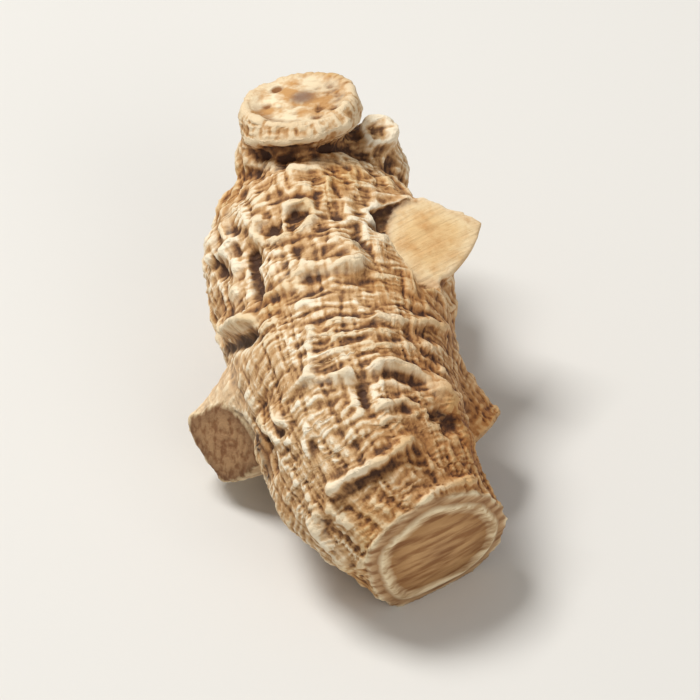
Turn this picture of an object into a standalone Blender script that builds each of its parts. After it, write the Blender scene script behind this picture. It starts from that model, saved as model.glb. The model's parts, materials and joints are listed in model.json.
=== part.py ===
"""Dried ginseng root, grown as one piece and trimmed.

It lies on its side on a flat surface. +Z is up, +Y points to the crown end,
and the origin is under the middle of its box. The design sizes below are in
millimetres, and the mesh is in metres.
"""

import bmesh
import bpy
import numpy as np
from mathutils import Vector, noise

MM = 0.001

# Axes of the root and its branches: x, y, z and radius along each one
BODY = (
    (-3.8, 14.6, 14.6, 5.6),
    (-3.2, 11.4, 13.4, 8.9),
    (-2.2, 6.0, 12.6, 10.8),
    (-0.8, -1.0, 12.5, 10.5),
    (0.9, -7.8, 12.7, 10.6),
    (2.1, -14.4, 12.7, 10.3),
    (4.0, -20.3, 11.4, 9.7),
    (6.6, -23.7, 9.3, 8.8),
    (9.4, -26.3, 7.0, 7.8),
    (12.2, -28.3, 5.2, 7.0),
    (15.0, -30.0, 3.6, 6.4),
)
NECK = ((-2.8, 9.8, 15.0, 5.2), (-3.6, 12.6, 19.0, 3.9), (-3.9, 13.4, 22.4, 3.9))
CROWN = ((-3.7, 13.0, 21.8, 5.4), (-4.0, 13.8, 23.8, 6.0), (-4.2, 14.2, 25.6, 5.7))
LEFT_LEG = (
    (-2.0, -10.5, 11.4, 6.6),
    (-6.4, -11.2, 8.8, 5.4),
    (-9.6, -12.6, 6.4, 4.2),
    (-12.4, -13.8, 5.4, 3.4),
)
RIGHT_LEG = (
    (4.8, -10.0, 10.2, 6.4),
    (8.8, -11.4, 8.0, 5.6),
    (12.2, -12.8, 5.8, 4.6),
    (15.2, -14.0, 4.4, 3.8),
)
SIDE_STUB = (
    (3.1, 3.9, 15.1, 4.8),
    (7.1, 2.2, 17.8, 4.2),
    (10.5, 1.8, 18.3, 3.8),
    (13.4, 1.5, 18.2, 3.2),
)

# Swellings: centre, then radii along x, y and z
LOBES = (
    ((-8.8, 5.2, 12.4), (3.3, 7.2, 7.2)),
    ((-7.4, 8.0, 6.6), (5.0, 6.0, 7.1)),
    ((3.6, 6.6, 6.4), (6.6, 6.4, 6.9)),
    ((0.6, 13.8, 14.8), (5.0, 4.6, 5.2)),
    ((-7.2, 11.8, 20.0), (2.8, 2.6, 3.0)),
    ((2.8, 15.4, 18.6), (1.9, 1.8, 2.0)),
)

# Knife cuts: a point on each cut, the way it faces, how far it reaches to the
# sides, and how much its middle bulges out
CUTS = (
    ((10.5, -26.9, 6.5), (0.58, -0.79, -0.19), 10.0, 0.9),
    ((-11.4, -13.6, 6.0), (-0.55, -0.82, 0.14), 6.0, 0.3),
    ((12.1, -12.4, 5.4), (0.66, -0.40, -0.63), 5.0, 0.2),
    ((9.2, 1.6, 18.5), (0.21, -0.32, 0.92), 4.9, 0.3),
    ((11.9, 1.8, 17.6), (0.86, -0.28, -0.42), 4.0, 0.8),
)

# Marks on the front are set out square to this line of sight, in millimetres
# across and up from the origin of the sizes above
SIGHT = Vector((0.071, -0.723, 0.687)).normalized()
ACROSS = (Vector((1.0, 0.0, 0.0)) - SIGHT * SIGHT.x).normalized()
RISE = SIGHT.cross(ACROSS)

# Folds of the skin: height, half width, then points across and up
FOLDS = (
    (0.9, 0.55, ((-5.2, 10.6), (-3.5, 11.4), (-1.0, 11.6), (1.0, 12.0), (2.2, 12.7))),
    (0.5, 0.40, ((-7.8, 8.9), (-6.0, 9.7), (-4.4, 10.1), (-2.8, 10.2))),
    (1.1, 0.60, ((-12.3, 6.2), (-10.5, 6.2), (-9.0, 6.8), (-7.8, 7.3))),
    (0.7, 0.45, ((-13.0, 6.6), (-13.1, 5.6), (-12.0, 5.1), (-10.8, 5.1))),
    (0.6, 0.40, ((-10.9, 18.2), (-11.2, 16.5), (-10.9, 14.8), (-9.4, 14.1))),
    (0.6, 0.40, ((-12.4, 17.6), (-12.6, 15.0), (-12.2, 13.0), (-10.8, 13.3), (-9.9, 12.2), (-10.6, 8.2))),
    (0.5, 0.40, ((-9.6, 18.2), (-9.2, 16.6), (-8.6, 15.0))),
    (0.8, 0.34, ((-6.4, 16.8), (-5.0, 17.5), (-3.4, 17.5), (-2.9, 16.7), (-3.6, 15.8), (-4.8, 15.0))),
    (0.8, 0.34, ((-4.8, 15.0), (-6.2, 14.4), (-7.8, 14.3), (-8.4, 15.0), (-8.0, 16.0), (-6.6, 16.4))),
    (0.6, 0.30, ((-6.0, 16.6), (-5.7, 15.6), (-5.2, 14.9))),
    (0.4, 0.32, ((-7.6, 10.4), (-6.2, 12.0), (-4.9, 13.2))),
    (0.4, 0.32, ((-6.8, 9.8), (-5.4, 11.4), (-4.0, 12.6))),
    (0.4, 0.35, ((-8.2, 13.3), (-6.6, 13.4), (-5.2, 13.9))),
    (0.6, 0.45, ((-1.7, 15.8), (-1.0, 14.6), (-0.2, 13.9), (1.2, 13.4), (2.4, 13.0))),
    (0.6, 0.50, ((-5.6, 19.8), (-4.6, 21.0), (-3.2, 21.9), (-1.4, 22.1), (0.5, 21.8), (2.4, 21.2))),
    (0.6, 0.45, ((5.4, 18.2), (5.2, 16.8), (4.2, 15.2), (3.0, 14.2))),
    (0.6, 0.40, ((-2.0, 6.4), (-0.4, 7.0), (2.6, 7.2), (5.6, 7.2), (8.0, 6.8), (10.2, 6.2))),
    (0.4, 0.35, ((-7.8, 8.0), (-4.6, 8.2), (-2.4, 8.6))),
    (0.4, 0.35, ((-3.8, 5.7), (-1.0, 5.6), (2.0, 6.0), (5.4, 6.1))),
    (0.4, 0.35, ((-3.0, 3.6), (1.0, 4.6), (6.0, 5.0), (9.6, 4.2))),
    (0.5, 0.40, ((-3.3, 6.7), (-3.4, 4.4), (-3.2, 2.4), (-3.9, 1.2))),
    (0.7, 0.50, ((-5.0, 0.8), (-3.6, 1.2), (-1.8, 1.5), (-0.2, 1.9), (1.2, 2.1))),
    (0.9, 0.50, ((1.8, 2.3), (3.4, 2.8), (4.8, 2.8), (6.4, 2.4), (7.8, 1.4), (9.2, -0.2), (10.2, -1.4))),
    (0.5, 0.35, ((2.2, 1.2), (4.0, 1.3), (5.6, 1.0), (7.4, 0.0), (8.6, -1.4))),
    (0.7, 0.40, ((2.2, -1.4), (3.6, -0.8), (5.4, -0.2), (7.0, -0.9), (8.2, -2.0))),
    (0.4, 0.35, ((2.6, -2.6), (4.4, -2.0), (6.0, -1.6), (7.2, -2.4))),
    (0.9, 0.40, ((-7.0, -0.4), (-6.7, -1.6), (-6.0, -2.4), (-5.2, -3.0))),
    (0.6, 0.40, ((-8.4, -1.4), (-7.8, -3.2), (-6.2, -4.2), (-4.6, -4.2))),
    (0.5, 0.40, ((-3.9, -2.6), (-3.9, -4.4), (-3.4, -6.0))),
    (0.9, 0.45,
     ((-1.9, -9.2), (-1.0, -8.2), (0.6, -7.2), (2.0, -6.4), (3.6, -5.8), (5.0, -4.6), (6.4, -3.6))),
    (0.6, 0.45, ((-3.4, -9.4), (-2.8, -11.0), (-2.0, -12.6), (-0.8, -14.4), (0.8, -16.6))),
    (0.5, 0.40, ((-2.2, -9.6), (-0.4, -10.8), (1.0, -12.0))),
    (0.5, 0.40, ((0.8, -16.6), (2.0, -14.6), (3.6, -13.0), (5.6, -12.0))),
    (0.6, 0.40, ((6.6, -10.4), (7.4, -9.3), (8.8, -8.4), (10.4, -7.9), (12.6, -7.3))),
    (0.5, 0.45, ((-9.8, 24.6), (-8.0, 24.1), (-5.0, 24.1), (-2.6, 24.3), (-0.8, 25.0), (0.6, 26.4))),
    (0.7, 0.40, ((-9.5, 22.0), (-8.2, 21.8), (-6.8, 21.4), (-5.6, 21.2))),
    (-0.5, 0.40, ((-8.8, 23.1), (-5.0, 23.2), (-1.4, 23.5))),
    (-1.0, 0.45, ((-8.9, 14.2), (-8.7, 12.0), (-8.4, 10.4), (-7.9, 8.4))),
    (-0.6, 0.35, ((-11.6, 12.2), (-11.3, 10.6))),
    (-0.5, 0.32, ((-5.6, 16.3), (-4.8, 16.6), (-3.9, 16.8))),
    (-0.5, 0.36, ((-7.4, 15.4), (-6.5, 15.6))),
    (-1.3, 0.60, ((5.0, 18.2), (4.3, 17.0), (3.4, 16.1), (2.0, 15.6))),
    (-0.7, 0.35, ((0.2, 15.2), (0.9, 14.2), (2.0, 13.6), (2.8, 12.4))),
    (-0.7, 0.35, ((1.2, 1.4), (1.6, 0.0), (2.0, -1.8))),
    (-0.7, 0.32, ((-2.9, -3.0), (-3.2, -4.8), (-2.9, -6.4))),
    (-0.5, 0.40, ((0.8, -8.4), (3.0, -6.8), (5.2, -5.6))),
    (-0.8, 0.50, ((7.6, -0.6), (9.0, -2.2), (10.2, -3.6))),
    (-0.8, 0.50, ((-8.6, -3.0), (-7.6, -5.0), (-7.0, -7.0), (-7.4, -8.2))),
    (-0.9, 0.60, ((-12.4, 4.2), (-10.6, 4.4), (-9.2, 5.2), (-8.0, 6.2))),
)

# Rings of raised skin round a pit: across, up, radius, height and half width.
# The first is the bud beside the crown.
EYES = (
    (2.9, 24.9, 1.05, 0.6, 0.36),
    (-12.6, 6.0, 0.55, 0.3, 0.30),
)

# Pattern of the skin, all sizes in millimetres
FOLD_SCALE = 1.3
UNEVENNESS = 0.7
EYE_PIT = 0.5
NET_CELL = (2.2, 3.2)
NET_HEIGHT = 0.4
RING_SPACING = 2.0
RING_HEIGHT = 0.6
WRINKLE_WIDTH = 1.5
WRINKLE_LENGTH = 7.0
WRINKLE_HEIGHT = 0.35
LUMP_SIZE = 8.0
LUMP_HEIGHT = 0.8
BACK_SCALE = 1.5
DRUM_RADIUS = 10.0
END_SHARE = 0.8
SHOULDER_END = (17.0, 24.0)
TAIL_START = (34.0, 40.0)

# Stem scar on the crown: centre, the way it faces, its rim and its pits
SCAR_CENTRE = Vector((-4.2, 14.2, 25.7))
SCAR_FACING = Vector((-0.18, 0.22, 0.96)).normalized()
SCAR_RADIUS = 5.6
SCAR_DISH = 0.7
PIT_SPACING = 1.5
PIT_DEPTH = 0.55
STEM_PLACE = Vector((-3.7, 14.9, 25.7))
STEM_RADIUS = 1.2

# How the mesh is made
BLANK_VOXEL = 0.5
BLANK_SMOOTHING = 10
SKIN_VOXEL = 0.42
TRIANGLES = 11800
REST_HEIGHT = 0.2
FLOOR_REACH = 40.0
CUTTER_STEPS = 7
REST_SNAP = 0.05
SKIN_COLOUR = (0.52, 0.35, 0.19, 1.0)
SKIN_ROUGHNESS = 0.8


def clear_scene():
    for thing in list(bpy.data.objects):
        bpy.data.objects.remove(thing, do_unlink=True)


def smooth_step(value, low, high):
    """0 below low, 1 above high and a soft change between."""
    share = np.clip((value - low) / (high - low), 0.0, 1.0)
    return share * share * (3.0 - 2.0 * share)


def bell(distance, half_width):
    """1 at no distance, falling off to both sides."""
    return np.exp(-(distance / half_width) ** 2)


def limb_mesh(stations):
    """A round limb through its stations, as a mesh with flat ends."""
    curve = bpy.data.curves.new("limb", "CURVE")
    curve.dimensions = "3D"
    curve.bevel_depth = MM
    curve.bevel_resolution = 9
    curve.resolution_u = 8
    curve.use_fill_caps = True
    spline = curve.splines.new("BEZIER")
    spline.bezier_points.add(len(stations) - 1)
    for point, (x, y, z, radius) in zip(spline.bezier_points, stations):
        point.co = Vector((x, y, z)) * MM
        point.radius = radius
        point.handle_left_type = "AUTO"
        point.handle_right_type = "AUTO"
    limb = bpy.data.objects.new("limb", curve)
    bpy.context.scene.collection.objects.link(limb)
    graph = bpy.context.evaluated_depsgraph_get()
    mesh = bpy.data.meshes.new_from_object(limb.evaluated_get(graph))
    bpy.data.objects.remove(limb)
    bpy.data.curves.remove(curve)
    return mesh


def apply_modifiers(thing):
    """Keep what the modifiers make as the object's own mesh."""
    graph = bpy.context.evaluated_depsgraph_get()
    mesh = bpy.data.meshes.new_from_object(thing.evaluated_get(graph))
    old = thing.data
    thing.modifiers.clear()
    thing.data = mesh
    bpy.data.meshes.remove(old)


def make_blank(collection):
    """Limbs and swellings grown together into one smooth body."""
    form = bmesh.new()
    for stations in (BODY, NECK, CROWN, LEFT_LEG, RIGHT_LEG, SIDE_STUB):
        mesh = limb_mesh(stations)
        form.from_mesh(mesh)
        bpy.data.meshes.remove(mesh)
    for centre, radii in LOBES:
        ball = bmesh.ops.create_uvsphere(form, u_segments=32, v_segments=20, radius=1.0)
        bmesh.ops.scale(form, vec=Vector(radii) * MM, verts=ball["verts"])
        bmesh.ops.translate(form, vec=Vector(centre) * MM, verts=ball["verts"])
    bmesh.ops.remove_doubles(form, verts=form.verts, dist=1e-6)
    mesh = bpy.data.meshes.new("ginseng_root")
    form.to_mesh(mesh)
    form.free()
    root = bpy.data.objects.new("ginseng_root", mesh)
    collection.objects.link(root)
    remesh(root, BLANK_VOXEL)
    soften = root.modifiers.new("softened", "SMOOTH")
    soften.factor = 0.5
    soften.iterations = BLANK_SMOOTHING
    apply_modifiers(root)
    return root


def axis_samples(stations, step=0.5):
    """Points, unit directions and radii every step along an axis."""
    rows = np.array(stations)
    gaps = np.linalg.norm(np.diff(rows[:, :3], axis=0), axis=1)
    marks = np.concatenate(([0.0], np.cumsum(gaps)))
    places = np.arange(0.0, marks[-1], step)
    samples = np.column_stack([np.interp(places, marks, rows[:, k]) for k in range(4)])
    ways = np.gradient(samples[:, :3], axis=0)
    ways /= np.linalg.norm(ways, axis=1)[:, None]
    return places, samples[:, :3], ways, samples[:, 3]


def unroll(points, stations):
    """Where each point is on a limb: on a drum round its axis, and how far out.

    The first result has two numbers round the drum and one along it. On a
    limb's round end they shrink towards its middle. The second result is the
    distance from the axis as a share of the limb's radius.
    """
    places, centres, ways, radii = axis_samples(stations)
    nearest = np.empty(len(points), dtype=int)
    reach = np.empty(len(points))
    for first in range(0, len(points), 4000):
        block = points[first:first + 4000]
        gaps = np.linalg.norm(block[:, None, :] - centres[None, :, :], axis=2) / radii[None, :]
        nearest[first:first + 4000] = gaps.argmin(axis=1)
        reach[first:first + 4000] = gaps.min(axis=1)
    way = ways[nearest]
    offset = points - centres[nearest]
    slide = np.sum(offset * way, axis=1)
    offset -= slide[:, None] * way
    aside = np.cross(way, np.array([0.0, 0.0, 1.0]))
    aside /= np.linalg.norm(aside, axis=1)[:, None]
    over = np.cross(aside, way)
    out = np.maximum(np.linalg.norm(offset, axis=1), END_SHARE * radii[nearest])
    drum = np.column_stack((
        np.sum(offset * aside, axis=1) / out * DRUM_RADIUS,
        np.sum(offset * over, axis=1) / out * DRUM_RADIUS,
        places[nearest] + slide,
    ))
    return drum, reach


def waves(points, size, seed):
    """Soft noise from -1 to 1, with features about size across."""
    shift = Vector((7.3, 3.1, 5.7)) * seed
    return np.array([noise.noise(Vector(p) + shift) for p in points / np.array(size)])


def crests(points, size, seed, width=0.25):
    """Thin wandering crests: 1 on them and 0 between."""
    return 1.0 - np.minimum(np.abs(waves(points, size, seed)) / width, 1.0)


def cell_borders(points, size, seed):
    """0 on the borders between cells, rising to about 0.7 in their middles."""
    shift = Vector((2.9, 8.3, 4.1)) * seed
    gaps = [noise.voronoi(Vector(p) + shift)[0] for p in points / np.array(size)]
    return np.array([gap[1] - gap[0] for gap in gaps])


def net(drum):
    """Low cells with raised borders, as on the shoulder."""
    round_size, along_size = NET_CELL
    border = cell_borders(drum, (round_size, round_size, along_size), 3)
    return bell(border, 0.16) - 0.3 * smooth_step(border, 0.2, 0.7)


def rings(drum):
    """Broken rings round the root."""
    turn = drum[:, 2] / RING_SPACING + 0.7 * waves(drum, (5.0, 5.0, 5.0), 5)
    even = (0.5 + 0.5 * np.cos(2.0 * np.pi * turn)) ** 1.5
    strength = 0.65 + 0.7 * waves(drum, (4.0, 4.0, 3.0), 6)
    broken = crests(drum, (6.0, 6.0, 1.6), 7)
    return 0.6 * even * strength + 0.5 * broken - 0.35


def wrinkles(drum):
    """Shallow wrinkles that run along the root."""
    return crests(drum, (WRINKLE_WIDTH, WRINKLE_WIDTH, WRINKLE_LENGTH), 9) - 0.4


def body_skin(drum):
    """Net on the shoulder, rings on the waist, wrinkles and some rings on the tail."""
    along = drum[:, 2]
    shoulder = 1.0 - smooth_step(along, *SHOULDER_END)
    tail = smooth_step(along, *TAIL_START)
    waist = (1.0 - shoulder) * (1.0 - tail)
    height = shoulder * NET_HEIGHT * net(drum)
    height += (waist + 0.25 * tail) * RING_HEIGHT * rings(drum)
    height += (0.9 * shoulder + 0.5 * waist + tail) * WRINKLE_HEIGHT * wrinkles(drum)
    return height


def leg_skin(drum):
    """Wrinkles along a side root, with a few rings."""
    return 0.5 * RING_HEIGHT * rings(drum) + WRINKLE_HEIGHT * wrinkles(drum)


def crown_skin(drum):
    """Low ledges round the crown's wall."""
    return 0.4 * RING_HEIGHT * rings(drum)


def nearest_on_line(spots, line):
    """Distance from each spot to a line of points, and to the line's nearer end."""
    best = np.full(len(spots), 1e9)
    place = np.zeros(len(spots))
    start = 0.0
    for first, last in zip(line[:-1], line[1:]):
        first = np.array(first)
        run = np.array(last) - first
        length = np.hypot(*run)
        share = np.clip((spots - first) @ run / length ** 2, 0.0, 1.0)
        gap = np.hypot(*(spots - first - share[:, None] * run).T)
        closer = gap < best
        best = np.where(closer, gap, best)
        place = np.where(closer, start + share * length, place)
        start += length
    return best, np.minimum(place, start - place)


def front_marks(points, normals):
    """Folds, creases and eyes that are set out on the front, and where they lie."""
    spots = np.column_stack((points @ np.array(ACROSS), points @ np.array(RISE)))
    spots[:, 0] += 0.2 * waves(points, (2.2, 2.2, 2.2), 11)
    spots[:, 1] += 0.2 * waves(points, (2.2, 2.2, 2.2), 12)
    height = np.zeros(len(points))
    cover = np.zeros(len(points))
    uneven = 1.0 + UNEVENNESS * waves(points, (1.6, 1.6, 1.6), 13)
    for rise, half_width, line in FOLDS:
        gap, end_gap = nearest_on_line(spots, line)
        mark = bell(gap, half_width * uneven) * smooth_step(end_gap, -0.3, 1.2)
        height += FOLD_SCALE * rise * uneven * mark
        cover = np.maximum(cover, bell(gap, 1.6 * half_width) * smooth_step(end_gap, -0.3, 1.2))
    for across, up, radius, rise, half_width in EYES:
        out = np.hypot(spots[:, 0] - across, spots[:, 1] - up)
        height += FOLD_SCALE * rise * (bell(out - radius, half_width) - EYE_PIT * bell(out, 0.7 * radius))
        cover = np.maximum(cover, 1.0 - smooth_step(out, radius, 1.6 * radius))
    facing = smooth_step(normals @ np.array(SIGHT), 0.0, 0.3)
    return height * facing, cover * facing


def scar_marks(points):
    """The stem scar on the crown: a raised rim, a pitted floor and the stem's stump."""
    offset = points - np.array(SCAR_CENTRE)
    level = offset @ np.array(SCAR_FACING)
    out = np.linalg.norm(offset - level[:, None] * np.array(SCAR_FACING), axis=1)
    on_top = smooth_step(level, -1.6, -0.6)
    inside = on_top * (1.0 - smooth_step(out, 0.70 * SCAR_RADIUS, 0.92 * SCAR_RADIUS))
    border = cell_borders(points, (PIT_SPACING, PIT_SPACING, 3.0 * PIT_SPACING), 4)
    pits = PIT_DEPTH * smooth_step(border, 0.25, 0.6)
    stem = np.linalg.norm(points - np.array(STEM_PLACE), axis=1)
    stump = smooth_step(1.8 - stem / STEM_RADIUS, 0.2, 1.0)
    return -inside * (SCAR_DISH + (1.0 - stump) * pits), inside


def skin_height(points, normals):
    """How far the skin stands out at each point of the smooth blank."""
    limbs = (
        (BODY, body_skin),
        (LEFT_LEG, leg_skin),
        (RIGHT_LEG, leg_skin),
        (SIDE_STUB, leg_skin),
        (CROWN, crown_skin),
    )
    drums = [unroll(points, stations) for stations, _ in limbs]
    reach = np.array([out for _, out in drums])
    share = np.exp(-8.0 * (reach - reach.min(axis=0)))
    share /= share.sum(axis=0)
    height = np.zeros(len(points))
    for part, (drum, _), (_, skin) in zip(share, drums, limbs):
        height += part * skin(drum)
    front = smooth_step(normals @ np.array(SIGHT), -0.2, 0.5)
    height *= BACK_SCALE + (1.0 - BACK_SCALE) * front
    marks, cover = front_marks(points, normals)
    scar, scarred = scar_marks(points)
    height = height * (1.0 - 0.5 * cover) * (1.0 - scarred) + marks + scar
    return height + LUMP_HEIGHT * waves(points, (LUMP_SIZE,) * 3, 15) * (1.0 - scarred)


def raise_skin(root):
    """Move each vertex of the blank out or in by the height of the skin there."""
    mesh = root.data
    count = len(mesh.vertices)
    points = np.empty(count * 3)
    mesh.vertices.foreach_get("co", points)
    points = points.reshape(-1, 3) / MM
    normals = np.array([vertex.normal for vertex in mesh.vertices])
    points += skin_height(points, normals)[:, None] * normals
    mesh.vertices.foreach_set("co", (points * MM).ravel())
    mesh.update()


def add_cutter(collection, point, facing, reach, bulge=0.0):
    """A cube that takes away what lies past a plane, within reach of a point on it.

    Its face on the plane is dished by the bulge, which the cut end keeps.
    """
    form = bmesh.new()
    bmesh.ops.create_cube(form, size=2.0 * reach)
    if bulge:
        bmesh.ops.subdivide_edges(form, edges=form.edges, cuts=CUTTER_STEPS, use_grid_fill=True)
        for vertex in form.verts:
            if vertex.co.z < -0.99 * reach:
                out = min(vertex.co.xy.length / reach, 1.0)
                vertex.co.z += bulge * (1.0 - out * out)
    bmesh.ops.scale(form, vec=Vector((MM, MM, MM)), verts=form.verts)
    mesh = bpy.data.meshes.new("cutter")
    form.to_mesh(mesh)
    form.free()
    cutter = bpy.data.objects.new("cutter", mesh)
    cutter.rotation_euler = facing.to_track_quat("Z", "Y").to_euler()
    cutter.location = (point + facing * reach) * MM
    cutter.hide_render = True
    cutter.display_type = "WIRE"
    collection.objects.link(cutter)


def remesh(root, voxel):
    """One even skin of small faces over everything, with no overlaps."""
    fuse = root.modifiers.new("grown together", "REMESH")
    fuse.mode = "VOXEL"
    fuse.voxel_size = voxel * MM
    apply_modifiers(root)


def cut_away(root, cutters):
    """Take every cutter of a collection out of the root, and close the cuts."""
    cut = root.modifiers.new("knife cuts", "BOOLEAN")
    cut.operation = "DIFFERENCE"
    cut.operand_type = "COLLECTION"
    cut.collection = cutters
    cut.solver = "EXACT"
    bpy.context.view_layer.update()
    apply_modifiers(root)
    for cutter in list(cutters.objects):
        bpy.data.objects.remove(cutter)


def thin_out(root):
    """Fewer triangles, kept where the skin bends most."""
    faces = sum(len(face.vertices) - 2 for face in root.data.polygons)
    thin = root.modifiers.new("fewer triangles", "DECIMATE")
    thin.ratio = TRIANGLES / faces
    apply_modifiers(root)


def flatten_feet(mesh):
    """Put the underside of the feet exactly on their one plane."""
    for vertex in mesh.vertices:
        if vertex.co.z < (REST_HEIGHT + REST_SNAP) * MM:
            vertex.co.z = REST_HEIGHT * MM


def stand_on_origin(mesh):
    """Put the middle of the box over the origin and its underside at zero."""
    points = np.array([vertex.co for vertex in mesh.vertices])
    middle = (points.min(axis=0) + points.max(axis=0)) / 2.0
    shift = Vector((-middle[0], -middle[1], -points[:, 2].min()))
    for vertex in mesh.vertices:
        vertex.co += shift
    mesh.update()
    return shift


def skin_material():
    """Dried root skin: matt, pale tan."""
    material = bpy.data.materials.new("dried_root_skin")
    material.use_nodes = True
    shader = material.node_tree.nodes["Principled BSDF"]
    shader.inputs["Base Color"].default_value = SKIN_COLOUR
    shader.inputs["Roughness"].default_value = SKIN_ROUGHNESS
    shader.inputs["Metallic"].default_value = 0.0
    return material


def make_root():
    clear_scene()
    collection = bpy.data.collections.new("ginseng root")
    cutters = bpy.data.collections.new("cutters")
    bpy.context.scene.collection.children.link(collection)
    bpy.context.scene.collection.children.link(cutters)
    root = make_blank(collection)
    raise_skin(root)
    remesh(root, SKIN_VOXEL)
    for point, facing, reach, bulge in CUTS:
        add_cutter(cutters, Vector(point), Vector(facing).normalized(), reach, bulge)
    add_cutter(cutters, Vector((0.0, 0.0, REST_HEIGHT)), Vector((0.0, 0.0, -1.0)), FLOOR_REACH)
    cut_away(root, cutters)
    thin_out(root)
    flatten_feet(root.data)
    root.data.materials.append(skin_material())
    root.data.shade_smooth()
    return root, stand_on_origin(root.data)


ROOT, SHIFT = make_root()
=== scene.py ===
# %% [markdown]
# # A dried ginseng root
#
# The solid model of this root is already packed, and this script gives it its
# looks. On the real thing everything that you see is one skin: a thick body
# with a stem scar on top, netted and ringed all over, and four cut ends, brown
# or cream, where side roots and the tip were trimmed off.
#
# The model's mesh is coarse, so a finer surface is grown here from the same
# sizes. Its large forms stay where the solid has them. All sizes below are in
# millimetres, and the mesh is turned to metres at the end.

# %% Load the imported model
import json

import bmesh
import bpy
import numpy as np
from mathutils import Matrix, Vector, noise

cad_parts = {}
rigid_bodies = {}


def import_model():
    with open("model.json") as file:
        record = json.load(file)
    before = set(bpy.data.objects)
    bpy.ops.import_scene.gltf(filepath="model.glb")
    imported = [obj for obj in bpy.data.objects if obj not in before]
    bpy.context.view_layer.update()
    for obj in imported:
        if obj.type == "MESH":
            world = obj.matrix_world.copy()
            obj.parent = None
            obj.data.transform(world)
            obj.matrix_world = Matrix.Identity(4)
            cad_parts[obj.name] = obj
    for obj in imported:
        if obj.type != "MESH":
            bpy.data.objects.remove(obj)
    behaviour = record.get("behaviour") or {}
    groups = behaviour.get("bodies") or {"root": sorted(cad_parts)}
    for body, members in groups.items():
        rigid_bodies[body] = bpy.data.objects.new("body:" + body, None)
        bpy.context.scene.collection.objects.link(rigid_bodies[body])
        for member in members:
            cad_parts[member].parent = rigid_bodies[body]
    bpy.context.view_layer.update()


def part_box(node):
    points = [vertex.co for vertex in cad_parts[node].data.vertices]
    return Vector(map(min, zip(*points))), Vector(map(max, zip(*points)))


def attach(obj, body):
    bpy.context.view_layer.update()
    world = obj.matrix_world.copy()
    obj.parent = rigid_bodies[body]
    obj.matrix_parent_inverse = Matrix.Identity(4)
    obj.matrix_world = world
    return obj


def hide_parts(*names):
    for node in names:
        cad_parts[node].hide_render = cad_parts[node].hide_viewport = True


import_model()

# %% [markdown]
# ## The axes of the root
#
# A root is round wherever you cut it, so each branch is drawn as a line of
# stations with a radius. The crown end lies at +Y and the tail at -Y.

# %% Sizes of the body and its branches
BODY = (
    (-3.8, 14.6, 14.6, 5.6),
    (-3.2, 11.4, 13.4, 8.9),
    (-2.2, 6.0, 12.6, 10.8),
    (-0.8, -1.0, 12.5, 10.5),
    (0.9, -7.8, 12.7, 10.6),
    (2.1, -14.4, 12.7, 10.3),
    (4.0, -20.3, 11.4, 9.7),
    (6.6, -23.7, 9.3, 8.8),
    (9.4, -26.3, 7.0, 7.8),
    (12.2, -28.3, 5.2, 7.0),
    (15.0, -30.0, 3.6, 6.4),
)
NECK = ((-2.8, 9.8, 15.0, 5.2), (-3.6, 12.6, 19.0, 3.9), (-3.9, 13.4, 22.4, 3.9))
CROWN = ((-3.7, 13.0, 21.8, 5.4), (-4.0, 13.8, 23.8, 6.0), (-4.2, 14.2, 25.6, 5.7))
LEFT_LEG = (
    (-2.0, -10.5, 11.4, 6.6),
    (-6.4, -11.2, 8.8, 5.4),
    (-9.6, -12.6, 6.4, 4.2),
    (-12.4, -13.8, 5.4, 3.4),
)
RIGHT_LEG = (
    (4.8, -10.0, 10.2, 6.4),
    (8.8, -11.4, 8.0, 5.6),
    (12.2, -12.8, 5.8, 4.6),
    (15.2, -14.0, 4.4, 3.8),
)
SIDE_STUB = (
    (3.1, 3.9, 15.1, 4.8),
    (7.1, 2.2, 17.8, 4.2),
    (10.5, 1.8, 18.3, 3.8),
    (13.4, 1.5, 18.2, 3.2),
)
LOBES = (
    ((-8.8, 5.2, 12.4), (3.3, 7.2, 7.2)),
    ((-7.4, 8.0, 6.6), (5.0, 6.0, 7.1)),
    ((3.6, 6.6, 6.4), (6.6, 6.4, 6.9)),
    ((0.6, 13.8, 14.8), (5.0, 4.6, 5.2)),
    ((-7.2, 11.8, 20.0), (2.8, 2.6, 3.0)),
    ((2.8, 15.4, 18.6), (1.9, 1.8, 2.0)),
)
print(len(BODY), "stations on the body,", len(LOBES), "swellings")

# %% [markdown]
# ## The smooth blank
#
# The branches and swellings overlap like lumps of clay. A voxel remesh grows
# them together into one closed skin and a few rounds of smoothing soften the
# places where they meet. That is quicker than joining tubes by hand, and it
# gives even quads, which the relief needs.

# %% Grow the blank
BLANK_VOXEL = 0.5
BLANK_SMOOTHING = 10


def limb_mesh(stations):
    """A round limb through its stations, as a mesh with flat ends."""
    curve = bpy.data.curves.new("limb", "CURVE")
    curve.dimensions = "3D"
    curve.bevel_depth = 1.0
    curve.bevel_resolution = 9
    curve.resolution_u = 8
    curve.use_fill_caps = True
    spline = curve.splines.new("BEZIER")
    spline.bezier_points.add(len(stations) - 1)
    for point, (x, y, z, radius) in zip(spline.bezier_points, stations):
        point.co = (x, y, z)
        point.radius = radius
        point.handle_left_type = "AUTO"
        point.handle_right_type = "AUTO"
    limb = bpy.data.objects.new("limb", curve)
    bpy.context.scene.collection.objects.link(limb)
    graph = bpy.context.evaluated_depsgraph_get()
    mesh = bpy.data.meshes.new_from_object(limb.evaluated_get(graph))
    bpy.data.objects.remove(limb)
    bpy.data.curves.remove(curve)
    return mesh


def apply_modifiers(thing):
    """Keep what the modifiers make as the object's own mesh."""
    graph = bpy.context.evaluated_depsgraph_get()
    mesh = bpy.data.meshes.new_from_object(thing.evaluated_get(graph))
    old = thing.data
    thing.modifiers.clear()
    thing.data = mesh
    bpy.data.meshes.remove(old)


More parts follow.
